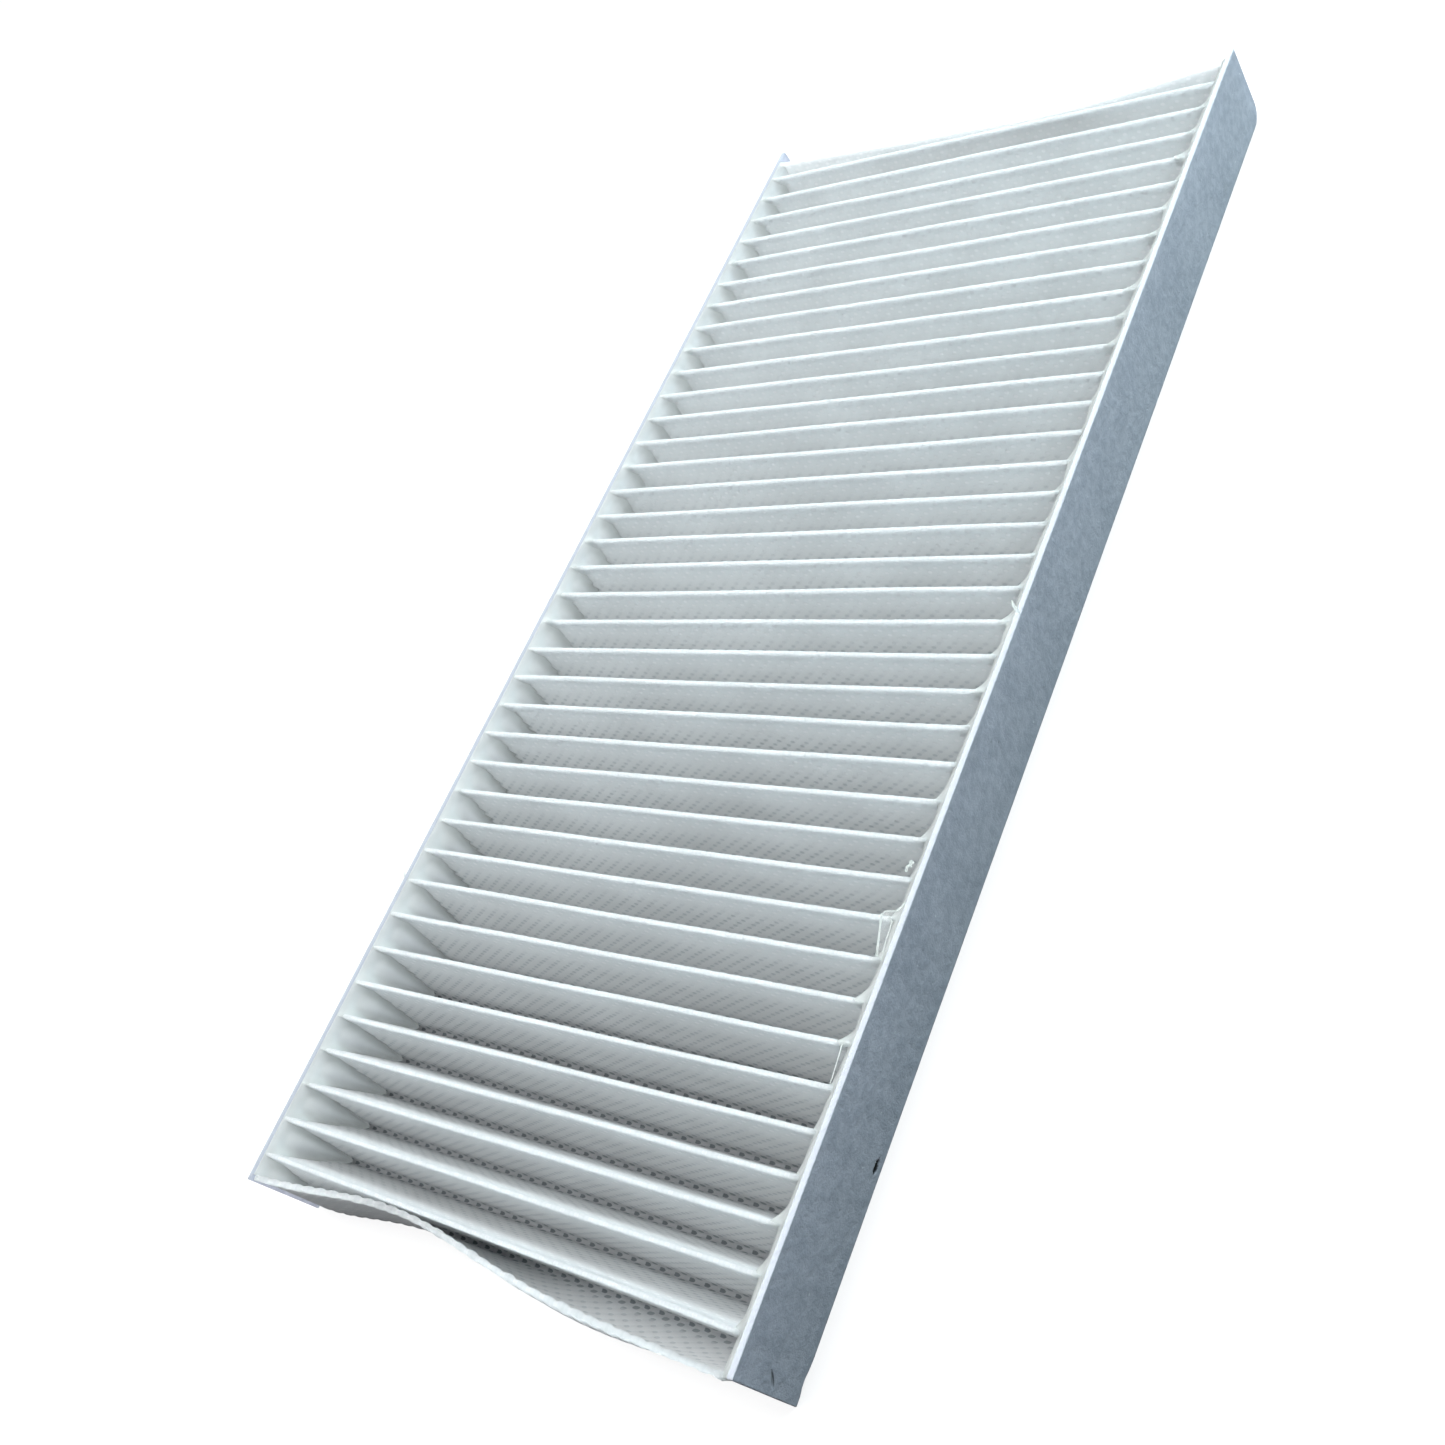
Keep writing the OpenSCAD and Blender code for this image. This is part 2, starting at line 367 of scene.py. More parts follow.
def sheet_material(colours, rows, last_row):
    """White nonwoven with a staggered grid of fused dots. The dots are painted darker where they lie in a
    fold, and so is the sheet deep in a valley, both as painted shade.
    """
    n = Nodes(bpy.data.materials.new("embossed_nonwoven"))
    weave = n.add("ShaderNodeAttribute", attribute_name="weave", attribute_type="GEOMETRY")
    across, along, inside = n.split(weave.outputs["Vector"])
    lattice, dot, fold_dot_shade, notch = dot_masks(n, across, along, inside, rows)
    lower = n.step(inside, 0.12, 0.5)
    # Faint slanting lines join the dots of neighbouring rows. They are partly the embossing's own pattern
    # and partly painted shade, which grows further down a panel
    slant_wave = n.math("COSINE", n.times(n.minus(across, n.times(along, 0.5)), 2 * pi))
    slant = n.times(n.step(slant_wave, 0.1, 1.0), n.plus(n.times(lower, 0.14), 0.03))

    clouds = n.noise(n.object_place(), 55.0, 2.0)
    stretched = n.add("ShaderNodeMapping", {"Vector": weave.outputs["Vector"], "Scale": (3.4, 8.0, 1.0)})
    strands = n.noise(stretched.outputs["Vector"], 5.0, 3.0, 0.65)

    tone = n.mix(n.step(clouds, 0.3, 0.7), rgba(colours.fibre), rgba(colours.fibre, 0.965))
    tone = n.mix(n.times(n.step(strands, 0.42, 0.72), 0.08), tone, rgba(colours.fibre, 0.82))
    # Painted shade: the sheet is painted darker deep in a valley
    tone = n.mix(n.times(n.math("POWER", inside, 6.0), 0.55), tone, rgba(colours.valley))
    tone = n.mix(slant, tone, rgba(colours.dot))
    # Dots are painted a little paler high on a panel, a painted glow of the light that comes through them,
    # and painted darker further down, as painted shade
    tone = n.mix(n.times(dot, n.times(n.minus(1.0, lower), 0.9)), tone, WHITE)
    tone = n.mix(n.times(dot, n.times(lower, 0.6)), tone, rgba(colours.dot))
    # Painted shade: the dots in and beside a valley fold are painted dark
    tone = n.mix(n.times(fold_dot_shade, 0.9), tone, rgba(colours.fold_dot_shade))
    # Painted shade: a ridge's notches are painted a little darker
    tone = n.mix(n.times(notch, 0.12), tone, rgba(colours.dot))

    height = n.plus(n.times(lattice, -0.02), n.times(dot, -0.035))
    height = n.plus(height, n.times(notch, -0.02))
    height = n.plus(height, n.times(strands, 0.015))
    normal = n.bump(height, MM)

    # A fused dot is smoother than the fibres round it
    rough = n.minus(0.85, n.times(dot, 0.35))
    cloth = n.add("ShaderNodeBsdfPrincipled", {
        "Base Color": tone, "Roughness": rough, "IOR": 1.45, "Specular IOR Level": 0.35,
        "Sheen Weight": 0.12, "Sheen Roughness": 0.5, "Normal": normal})
    through = n.add("ShaderNodeBsdfTranslucent", {"Color": tone, "Normal": normal})
    # The thin cloth lets much light through, and a fused dot lets a little more through
    share = n.plus(0.64, n.times(n.times(dot, lower), 0.1))
    # The panels at the two ends stand alone, and let less light through, except along the near free edge
    behind_near = n.math("MAXIMUM", n.step(along, -2.0, 1.0), n.step(along, -14.0, -15.5))
    before_far = n.step(along, last_row + 2.0, last_row)
    share = n.times(share, n.plus(n.times(behind_near, 0.65), 0.35))
    share = n.times(share, n.plus(n.times(before_far, 0.6), 0.4))
    share = n.plus(share, n.times(n.step(inside, 0.14, 0.0), 0.26))
    return n.close(n.blend(share, cloth, through))


def mark(n, place, sizes, turn=0.0):
    """How far a point of the right band's face lies from a mark, where 1 is the mark's edge."""
    middle_y, middle_z = place
    half_y, half_z = (size / 2 for size in sizes)
    shifted = n.object_place(shift=(0.0, -(NEAR_Y + middle_y), -middle_z))
    turned_back = n.add("ShaderNodeMapping", {
        "Vector": shifted, "Rotation": (-turn, 0.0, 0.0)}).outputs["Vector"]
    scaled = n.add("ShaderNodeVectorMath", {0: turned_back, 1: (0.0, 1 / half_y, 1 / half_z)},
                   operation="MULTIPLY").outputs["Vector"]
    return n.add("ShaderNodeVectorMath", {0: scaled}, operation="LENGTH").outputs["Value"]


def let_light_on(n, shader):
    """Let most of a lamp's light pass straight on through thin felt or glue that is lit from behind."""
    lamp_ray = n.add("ShaderNodeLightPath").outputs["Is Shadow Ray"]
    return n.blend(n.times(lamp_ray, 0.7), shader, n.add("ShaderNodeBsdfTransparent"))


def felt_material(colours, sizes, marked):
    """Pale grey-blue pressed felt with pale cut edges. The right band also has a pit and a crease, both
    painted dark inside as painted shade.
    """
    n = Nodes(bpy.data.materials.new("pressed_felt_marked" if marked else "pressed_felt"))
    flat = n.object_place()
    patches = n.noise(flat, 480.0, 4.0, 0.7)
    clouds = n.noise(flat, 60.0, 3.0, 0.6)
    fibres = n.noise(n.object_place((1.0, 0.4, 1.0), (0.25, 0.0, 0.0)), 1100.0, 3.0, 0.7)
    specks = n.add("ShaderNodeTexVoronoi", {"Vector": flat, "Scale": 330.0, "Randomness": 1.0})
    speck = n.step(specks.outputs["Distance"], 0.11, 0.04)
    which = n.noise(flat, 410.0, 0.0)
    light_speck = n.times(speck, n.step(which, 0.56, 0.62))
    dark_speck = n.times(speck, n.step(which, 0.42, 0.37))

    mottle = n.plus(n.times(n.step(patches, 0.36, 0.64), 0.6),
                    n.times(n.step(clouds, 0.35, 0.65), 0.35))
    mottle = n.plus(mottle, n.times(n.step(fibres, 0.35, 0.7), 0.2))
    tone = n.mix(mottle, rgba(colours.felt), rgba(colours.felt_dark))
    tone = n.mix(n.times(light_speck, 0.6), tone, rgba((0.86, 0.89, 0.92)))
    tone = n.mix(n.times(dark_speck, 0.5), tone, rgba((0.24, 0.26, 0.29)))
    height = n.plus(n.times(fibres, 0.14), n.times(patches, 0.3))
    # The cut edges along the top and bottom are paler, with loose fibres
    from_middle = n.math("ABSOLUTE", n.minus(n.split(flat)["Z"], PACK_TOP / 2))
    frayed = n.plus(from_middle, n.times(n.minus(fibres, 0.5), 1.6 * MM))
    cut = n.step(frayed, PACK_TOP / 2 - 0.8 * MM, PACK_TOP / 2 - 0.05 * MM)
    tone = n.mix(cut, tone, rgba(colours.cut))
    if marked:
        uneven = n.times(n.minus(fibres, 0.5), 0.35)
        pit = n.plus(mark(n, (sizes.pit_y, sizes.pit_z), (sizes.pit_l, sizes.pit_h)), uneven)
        # Painted shade: the pit is painted near black inside
        tone = n.mix(n.step(pit, 1.12, 0.78), tone, rgba(colours.pit))
        # Painted shade: the crease is painted darker, besides being pressed in by the bump
        crease = mark(n, (sizes.crease_y, sizes.crease_z), (sizes.crease_l, sizes.crease_w),
                      sizes.crease_turn)
        fold = n.step(n.plus(crease, uneven), 1.1, 0.3)
        tone = n.mix(n.times(fold, 0.75), tone, rgba(colours.felt_dark, 0.5))
        height = n.minus(height, n.times(fold, 0.4))
        worn = n.times(n.step(clouds, 0.58, 0.72), n.step(n.noise(flat, 25.0, 1.0), 0.5, 0.6))
        tone = n.mix(n.times(worn, 0.35), tone, rgba(colours.stain))
    normal = n.bump(height, MM)
    felt = n.add("ShaderNodeBsdfPrincipled", {
        "Base Color": tone, "Roughness": 0.95, "IOR": 1.45, "Specular IOR Level": 0.25,
        "Sheen Weight": 0.2, "Sheen Roughness": 0.55, "Normal": normal})
    through = n.add("ShaderNodeBsdfTranslucent", {"Color": tone, "Normal": normal})
    both = n.blend(0.3 if marked else 0.65, felt, through)
    return n.close(both if marked else let_light_on(n, both))


def glue_material(colours):
    """Clear-white hot-melt glue, cloudy inside and a little glossy."""
    n = Nodes(bpy.data.materials.new("hot_melt_glue"))
    flat = n.object_place()
    clouds = n.noise(flat, 160.0, 3.0)
    ripples = n.noise(n.object_place((1.0, 1.0, 0.4)), 420.0, 3.0)
    tone = n.mix(n.step(clouds, 0.3, 0.7), rgba(colours.glue), rgba(colours.glue, 0.93))
    normal = n.bump(ripples, 0.25 * MM)
    gloss = n.add("ShaderNodeBsdfPrincipled", {
        "Base Color": tone, "Roughness": 0.34, "IOR": 1.48, "Specular IOR Level": 0.5, "Normal": normal})
    through = n.add("ShaderNodeBsdfTranslucent", {"Color": tone})
    return n.close(let_light_on(n, n.blend(0.8, gloss, through)))


def film_material(colours):
    """Thin clear film of glue with a soft shine."""
    n = Nodes(bpy.data.materials.new("glue_film"))
    streaks = n.noise(n.object_place((1.0, 0.3, 1.0)), 500.0, 2.0)
    normal = n.bump(streaks, 0.2 * MM)
    film = n.add("ShaderNodeBsdfPrincipled", {
        "Base Color": rgba(colours.glue), "Roughness": 0.2, "IOR": 1.48, "Specular IOR Level": 0.5,
        "Normal": normal})
    share = n.plus(0.03, n.times(n.step(streaks, 0.45, 0.75), 0.12))
    return n.close(n.blend(share, n.add("ShaderNodeBsdfTransparent"), film))


# The folded sheet


class FoldPlan:
    """Where every fold and free edge of the sheet lies. Y is counted from the line at NEAR_Y."""

    first_fold_in = 1.1 * MM
    first_fold_draw = 3.4 * MM
    near_back = -0.4 * MM
    near_lean = 0.9 * MM
    near_bow_in = 4.8 * MM
    near_belly = 3.3 * MM
    far_bow_right = 4.7 * MM
    far_bow_left = 2.5 * MM
    # Mesh steps round the outside of a fold, keyed by whether it is a ridge, and round its inside
    outer_steps = {True: 4, False: 3}
    inner_steps = 2
    # Share of a dot's dent that shows in a ridge
    ridge_dent = 0.35
    # Share of it by which a panel stands out beside a fold, and how far up the panel that is
    quilting, quilt_place = 0.3, 0.1
    # Places of the mesh lines on a panel with a free edge, and where its swelling starts
    edge_shares = (0.94, 0.85, 0.7, 0.5, 0.3, 0.12)
    swell_from = 0.7
    # Share of a fold's stray that also lifts or sinks a ridge
    ridge_lift = 0.2
    # Strays are read from noise with so many waves to the metre, each fold and panel at a place of its own
    stray_waves = 22.0
    stray_step = 3.7
    height_seed = 100.3
    panel_seed = 300.7
    # How far the ridges lean towards the far end, as (pleat, millimetres), at each band
    lean_left = ((1, -1.6), (6, -1.3), (9, 0.3), (16, 0.1), (21, 1.1), (33, 1.1), (37, 1.7))
    lean_right = ((1, -2.3), (2, -1.0), (3, -0.5), (10, -0.4), (19, 0.5), (28, -0.1), (37, 0.6))

    def __init__(self, sizes):
        self.sizes = sizes
        self.half_width = SHEET_BOX[1][0]
        self.half_pitch = sizes.pitch / 2
        self.pack_length = sizes.pleats * sizes.pitch
        self.radius = {True: sizes.ridge_radius, False: sizes.valley_radius}
        both = sizes.ridge_radius + sizes.valley_radius
        rise = PACK_TOP - sizes.thickness - both
        slope = hypot(self.half_pitch, rise)
        self.lean = atan(self.half_pitch / rise) - asin(both / slope)
        self.panel = (slope ** 2 - both ** 2) ** 0.5
        self.arc = {ridge: radius * (pi - 2 * self.lean) for ridge, radius in self.radius.items()}
        self.row = (self.panel + sum(self.arc.values()) / 2) / sizes.rows_per_panel
        self.last_row = sizes.rows_per_panel * (2 * sizes.pleats - 2)
        self.first_dot = self.half_width - 2 * sizes.dot_spacing / sizes.steps_per_dot

    def near_edge(self, u):
        return self.near_back - self.near_lean * u + self.near_bow_in * hump(u, -0.33, 0.49)

    def first_fold(self, u):
        return self.half_pitch + self.first_fold_in - self.first_fold_draw * hump(u, -0.95, 0.31)

    def belly(self, u):
        return self.near_belly * hump(u, 0.47, 0.5)

    def far_edge(self, u):
        return (self.pack_length - self.far_bow_right * hump(u, 0.41, 0.52)
                - self.far_bow_left * hump(u, -0.3, 0.5))

    def ridge_lean(self, pleat, u):
        """How far a ridge lies from its even place, where the pack fans out a little at the top."""
        left, right = (follow(curve, pleat) * MM for curve in (self.lean_left, self.lean_right))
        return left + (right - left) * (u + 1) / 2

    def stray(self, x, number, reach):
        """A small smooth departure, which fades out at the glued ends."""
        held = 1 - abs(x / self.half_width) ** 8
        return reach * held * noise.noise(Vector((x * self.stray_waves, number * self.stray_step, 0.5)))

    def folds(self, x):
        """Middle of each fold at x, as (y, z, is it a ridge)."""
        u = x / self.half_width
        places = []
        for number in range(2 * self.sizes.pleats - 1):
            ridge = number % 2 == 1
            y = self.first_fold(u) if number == 0 else (number + 1) * self.half_pitch
            y += self.stray(x, number, self.sizes.wander)
            z = self.radius[ridge] + self.sizes.thickness / 2
            if ridge:
                y += self.ridge_lean((number + 1) / 2, u)
                lift = self.stray(x, number + self.height_seed, self.sizes.wander * self.ridge_lift)
                z = PACK_TOP - z + lift
            places.append((y, z, ridge))
        return places


def fold_points(plan, fold, number, upper, dent):
    """Points of one side of the sheet round a fold, as (y, z, along, inside). Inside is 1 in a valley."""
    y, z, ridge = fold
    outside = upper == ridge
    half = plan.sizes.thickness / 2
    dent *= plan.ridge_dent if ridge else 1.0
    radius = plan.radius[ridge] + (half - dent if outside else 0.4 * dent - half)
    steps = plan.outer_steps[ridge] if outside else plan.inner_steps
    turn = pi - 2 * plan.lean
    points = []
    for i in range(steps + 1):
        share = i / steps
        if ridge:
            angle = pi - plan.lean - share * turn
        else:
            angle = pi + plan.lean + share * turn
        along = plan.sizes.rows_per_panel * number + (share - 0.5) * plan.arc[ridge] / plan.row
        points.append((y + radius * cos(angle), z + radius * sin(angle), along, 0.0 if outside else 1.0))
    return points


def between(a, b, share, shift=0.0):
    """A point between two, moved sideways by a shift in Y."""
    return tuple(p + share * (q - p) + (shift if i == 0 else 0.0) for i, (p, q) in enumerate(zip(a, b)))


def side_points(plan, x, upper, folds, dent, swell):
    """One side of the sheet at x, from the near free edge to the far one."""
    u = x / plan.half_width
    half = plan.sizes.thickness / 2
    ring = [fold_points(plan, fold, i, upper, dent) for i, fold in enumerate(folds)]
    lip = half + swell

    def half_thickness(share):
        """Half the thickness of an end panel, which swells towards its free edge."""
        return half + swell * max(0.0, (share - plan.swell_from) / (1 - plan.swell_from))

    # The near panel hangs from its free edge to the first fold, with a belly
    start = ring[0][0]
    side = 1 if upper else -1
    edge_z = PACK_TOP - 0.25 * half
    fold_y = folds[0][0] - plan.radius[False]
    rows = hypot(plan.near_edge(u) - fold_y, edge_z - start[1]) / plan.row
    edge = (plan.near_edge(u), edge_z, start[2] - rows, 0.0)
    foot = (start[0] - side * half, *start[1:])
    points = [(edge[0] + side * lip, edge[1] - 0.5 * lip, *edge[2:])]
    for share in plan.edge_shares:
        shift = side * half_thickness(share) - plan.belly(u) * sin(pi * share)
        points.append(between(foot, edge, share, shift))

    # Panels between two folds have one row by the fold that they stand out at, and one in the middle
    for number, here in enumerate(ring):
        points += here
        if number + 1 == len(ring):
            break
        a, b = here[-1], ring[number + 1][0]
        warp = plan.stray(x * 0.8, number + plan.panel_seed, plan.sizes.warp)
        near_fold = 1 - plan.quilt_place if upper == folds[number + 1][2] else plan.quilt_place
        quilted = -side * (1 if folds[number + 1][2] else -1) * plan.quilting * dent
        for share in sorted((0.5, near_fold)):
            points.append(between(a, b, share, warp if share == 0.5 else quilted))

    # The far panel stands straight up to its free edge
    start = ring[-1][-1]
    fold_y = folds[-1][0] + plan.radius[False]
    rows = hypot(plan.far_edge(u) - fold_y, edge_z - start[1]) / plan.row
    edge = (plan.far_edge(u), edge_z, start[2] + rows, 0.0)
    foot = (start[0] + side * half, *start[1:])
    for share in reversed(plan.edge_shares):
        points.append(between(foot, edge, share, -side * half_thickness(share)))
    points.append((edge[0] - side * lip, edge[1] - 0.5 * lip, *edge[2:]))
    return points


def sheet_section(plan, x):
    """The closed outline of the folded sheet at x, as (y, z, along, inside), upper side first."""
    folds = plan.folds(x)
    across = (x - plan.first_dot) / plan.sizes.dot_spacing
    pressed = max(0.0, cos(2 * pi * across))
    dent = plan.sizes.dent * pressed
    swell = plan.sizes.puff * (1 - pressed) * (0.8 + 0.5 * noise.noise(Vector((x * 300.0, 4.4, 1.9))))
    swell += plan.sizes.edge
    upper = side_points(plan, x, True, folds, dent, swell)
    lower = side_points(plan, x, False, folds, dent, swell)
    crown = 0.35 * swell
    far_tip = between(upper[-1], lower[-1], 0.5)
    near_tip = between(lower[0], upper[0], 0.5)
    far_tip = (far_tip[0], far_tip[1] + crown, *far_tip[2:])
    near_tip = (near_tip[0], near_tip[1] + crown, *near_tip[2:])
    return upper + [far_tip] + lower[::-1] + [near_tip]


def folded_sheet(plan, surface):
    """The sheet, drawn out across its width one step at a time from its closed outline."""
    sizes = plan.sizes
    steps = sizes.columns * sizes.steps_per_dot

    def section(x):
        across = (x - plan.first_dot) / sizes.dot_spacing
        return [((x, NEAR_Y + y, z), (across, along, inside))
                for y, z, along, inside in sheet_section(plan, x)]

    bm = bmesh.new()
    draw_out(bm, [section(plan.half_width * (2 * i / steps - 1)) for i in range(steps + 1)])
    return finish_piece(bm, "folded_sheet", surface)


# The felt bands


def box_mesh(low, high):
    """A bmesh cube between two corners."""
    bm = bmesh.new()
    bmesh.ops.create_cube(bm, size=1.0)
    size = [b - a for a, b in zip(low, high)]
    middle = [(a + b) / 2 for a, b in zip(low, high)]
    bmesh.ops.scale(bm, vec=size, verts=bm.verts)
    bmesh.ops.translate(bm, vec=middle, verts=bm.verts)
    return bm


def bevel(bm, edges, offset, segments):
    bmesh.ops.bevel(bm, geom=edges, offset=offset, segments=segments, affect="EDGES", profile=0.5,
                    material=-1, clamp_overlap=True)


def slice_across(bm, axis, cuts):
    """Cut mesh lines square to an axis at every station."""
    normal = Vector([1.0 if i == axis else 0.0 for i in range(3)])
    for station in cuts:
        geom = bm.verts[:] + bm.edges[:] + bm.faces[:]
        bmesh.ops.bisect_plane(bm, geom=geom, dist=1e-7, plane_co=normal * station, plane_no=normal)


def stations(low, high, step):
    """Evenly spaced places between two ends, a step or a little less apart."""
    count = max(1, round((high - low) / step))
    return [low + (high - low) * i / count for i in range(1, count)]


def felt_band(sizes, surface, side):
    """A strip of felt with softly rounded edges and an uneven face. The right one has a pit and a nick."""
    low, high = (corner.copy() for corner in BAND_BOX[side])
    if side == "left":
        low.y -= sizes.spare
        high.y += sizes.spare
    bm = box_mesh(low, high)
    corner = [e for e in bm.edges
              if all(v.co.y > high[1] - MM and v.co.z < low[2] + MM for v in e.verts)]
    bevel(bm, corner, sizes.corner, 8)
    sharp = [e for e in bm.edges if len(e.link_faces) == 2 and e.calc_face_angle() > radians(60)]
    bevel(bm, sharp, sizes.edge, 2)
    marked = side == "right"
    pit_y, pit_z = NEAR_Y + sizes.pit_y, low[2] + sizes.pit_z
    slice_across(bm, 1, stations(low[1] + sizes.edge, high[1] - sizes.corner, sizes.grid))
    slice_across(bm, 2, stations(low[2] + sizes.edge, high[2] - sizes.edge, sizes.grid))
    if marked:
        fine = sizes.pit_h / 5
        slice_across(bm, 1, stations(pit_y - 0.6 * sizes.pit_l, pit_y + 0.6 * sizes.pit_l, fine))
        slice_across(bm, 2, stations(low[2] + sizes.edge, pit_z + 0.75 * sizes.pit_h, fine))
    outward = 1 if marked else -1
    outer_x = high[0] if marked else low[0]
    fray = 3 * sizes.edge
    nick_reach = 2 * MM
    for vert in bm.verts:
        x, y, z = vert.co
        wave = noise.noise(Vector((y * 90, z * 160, 3.1 * outward)))
        slow = noise.noise(Vector((y * 25, z * 40, 8.3 * outward)))
        face = 1.0 if abs(x - outer_x) < 1e-6 else 0.0
        vert.co.x -= outward * face * sizes.relief * (0.5 - 0.5 * wave + 0.5 - 0.5 * slow)
        if z < low[2] + fray or z > high[2] - fray:
            rise = 1 if z < low[2] + fray else -1
            vert.co.z += rise * sizes.relief * (0.5 + 0.5 * noise.noise(Vector((y * 120, x * 300, 1.7))))
        if not marked:
            continue
        reach = hypot((y - pit_y) / (sizes.pit_l / 2), (z - pit_z) / (sizes.pit_h / 2))
        if face and reach < 1:
            vert.co.x -= sizes.pit_depth * (1 - reach ** 3)
        nick = 1 - ((y - low[1] - sizes.nick_y) / sizes.nick_l) ** 2
        if nick > 0 and z < low[2] + nick_reach:
            vert.co.z += sizes.nick_depth * nick * (1 - (z - low[2]) / nick_reach)
    band = finish_piece(bm, "felt_band_" + side, surface)
    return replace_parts(band, "side_band_" + side)


# Glue


# Heights at which the glue's inner face is shaped, as shares of the way up to its shoulder below the top
GLUE_SHOULDER = 2.5 * MM
GLUE_LEVELS = (1.0, 0.86, 0.72, 0.58, 0.44, 0.32, 0.2, 0.1)


def panel_gap(folds, y, z):
    """Distance in Y from a point to the panels beside it, which changes smoothly half way between two."""
    gaps = [abs(y - a[0] - (b[0] - a[0]) * (z - a[1]) / (b[1] - a[1]))
            for a, b in zip(folds, folds[1:])]
    near, next_near = sorted(gaps)[:2]
    return near * next_near / (near + next_near) if next_near else 0.0


def glue_line(sizes, plan, surface, side):
    """A bar of glue that the pleats' cut ends are sunk in, with a web behind the end of every ridge."""
    low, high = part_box("glue_" + side)
    outward = 1 if side == "right" else -1
    back = high[0] if side == "right" else low[0]
    depth = sizes.depth_right if side == "right" else sizes.depth_left
    fillet = sizes.fillet_right if side == "right" else sizes.fillet_left
    bottom, top = low[2], PACK_TOP + sizes.crown
    folds = plan.folds(outward * plan.half_width)
    ridges = [y for y, _, ridge in folds if ridge]
    shoulder = top - GLUE_SHOULDER
    levels = [bottom + (shoulder - bottom) * share for share in GLUE_LEVELS]
    count = round((high[1] - low[1]) / sizes.step)
    sections = []
    for i in range(count + 1):
        y = low[1] + (high[1] - low[1]) * i / count
        pleat = min(range(len(ridges)), key=lambda number: abs(y - NEAR_Y - ridges[number] - MM))
        past = y - NEAR_Y - ridges[pleat]
        web = max(0.0, 1 - past / sizes.web_far) ** 1.6 if past > 0 else exp(-(past / sizes.web_near) ** 2)
        web *= max(0.15, 0.75 + 1.3 * noise.noise(Vector((pleat * 5.17, outward * 2.2, 0.3))))
        uneven = sizes.uneven * noise.noise(Vector((y * 140, outward * 7.1, 0.9)))
        reach = depth + uneven + sizes.web * web
        sag = sizes.sag * (1 - web) * (1 + uneven / sizes.uneven)
        # The profile goes from the felt over the top, down the inner face and back along the bottom
        profile = [(0.0, top - 0.12 * MM), (0.3 * depth, top - 0.2 * sag), (0.7 * reach, top - 0.7 * sag),
                   (reach, top - sag - 0.25 * MM)]
        nearby = folds[max(0, 2 * pleat - 1):2 * pleat + 5]
        for z in levels:
            close = max(0.0, 1 - panel_gap(nearby, y - NEAR_Y, z) / sizes.fillet_width)
            profile.append((depth + 0.4 * uneven + fillet * close ** 2, z))
        profile += [(0.6 * depth, bottom), (0.0, bottom)]
        sections.append([((back - outward * d, y, z), (0.0, 0.0, 0.0)) for d, z in profile])
    bm = bmesh.new()
    draw_out(bm, sections)
    line = finish_piece(bm, "glue_line_" + side, surface)
    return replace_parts(line, "glue_" + side)


def tube(bm, points, radii, sides=8):
    """A closed tube along points, made of rings that are bridged."""
    rings = []
    for i, (point, radius) in enumerate(zip(points, radii)):
        ahead = Vector(points[min(i + 1, len(points) - 1)]) - Vector(points[max(i - 1, 0)])
        turn = ahead.to_track_quat("Z", "Y").to_matrix().to_4x4()
        verts = bmesh.ops.create_circle(bm, cap_ends=i in (0, len(points) - 1), segments=sides,
                                        radius=radius, matrix=Matrix.Translation(point) @ turn)["verts"]
        ring = set(verts)
        rings.append([e for e in {e for v in verts for e in v.link_edges} if ring.issuperset(e.verts)])
    for a, b in zip(rings, rings[1:]):
        bmesh.ops.bridge_loops(bm, edges=a + b)


def drop(bm, place, size, turn):
    """A drop of glue, as a squashed and slightly uneven ball."""
    matrix = Matrix.Translation(place) @ Matrix.Rotation(turn, 4, "Z") @ Matrix.Diagonal((*size, 1.0))
    verts = bmesh.ops.create_icosphere(bm, subdivisions=3, radius=1.0, matrix=matrix)["verts"]
    for vert in verts:
        push = 1 + 0.22 * noise.noise((vert.co - Vector(place)) * 900 + Vector(place) * 50)
        vert.co = Vector(place) + (vert.co - Vector(place)) * push


def film(bm, outline, z, thickness):
    """A thin flat film of glue with a given outline."""
    verts = [bm.verts.new((x * MM, NEAR_Y + y * MM, z)) for x, y in outline]
    face = bmesh.ops.contextual_create(bm, geom=verts)["faces"]
    raised = bmesh.ops.extrude_face_region(bm, geom=face)["geom"]
    upper = [g for g in raised if isinstance(g, bmesh.types.BMVert)]
    bmesh.ops.translate(bm, vec=(0, 0, thickness), verts=upper)


# Loose glue beside the right band: places are millimetres across the sheet and from its near end
WEB_STRAND = ((63.9, 80.1), (64.45, 78.2), (65.05, 76.2), (65.6, 74.2), (66.2, 72.2))
WEB_EDGE = ((63.9, 80.0), (64.4, 80.8), (65.3, 81.0), (66.5, 81.1), (67.2, 81.7), (68.0, 83.0))
WEB_FOLD = ((65.6, 79.9), (66.1, 79.6), (66.6, 79.0), (66.75, 77.5), (66.8, 75.5), (67.1, 73.2),
            (67.6, 71.6))
WEB_FILM = ((63.95, 80.1), (64.5, 80.8), (66.5, 81.1), (67.3, 81.8), (67.9, 80.0), (67.9, 72.0),
            (66.2, 72.2), (65.6, 74.2), (65.05, 76.2), (64.45, 78.2))
THREAD = ((66.6, 48.1), (66.5, 50.0), (66.3, 52.5), (65.9, 56.1))
CURL = ((65.7, 89.2), (65.5, 89.9), (66.0, 90.4), (66.5, 90.0))
BLOBS = (((66.1, 90.9), (0.6, 0.45, 0.35), -0.4), ((65.6, 89.2), (0.3, 0.4, 0.25), 0.3))
BURR = ((66.2, 149.2), (67.0, 148.0), (68.1, 146.9), (69.2, 146.0))
LEFT_BURR = ((-69.0, 72.4), (-69.9, 73.4), (-70.6, 74.3))


def glue_places(points, lift):
    return [(x * MM, NEAR_Y + y * MM, PACK_TOP + lift) for x, y in points]


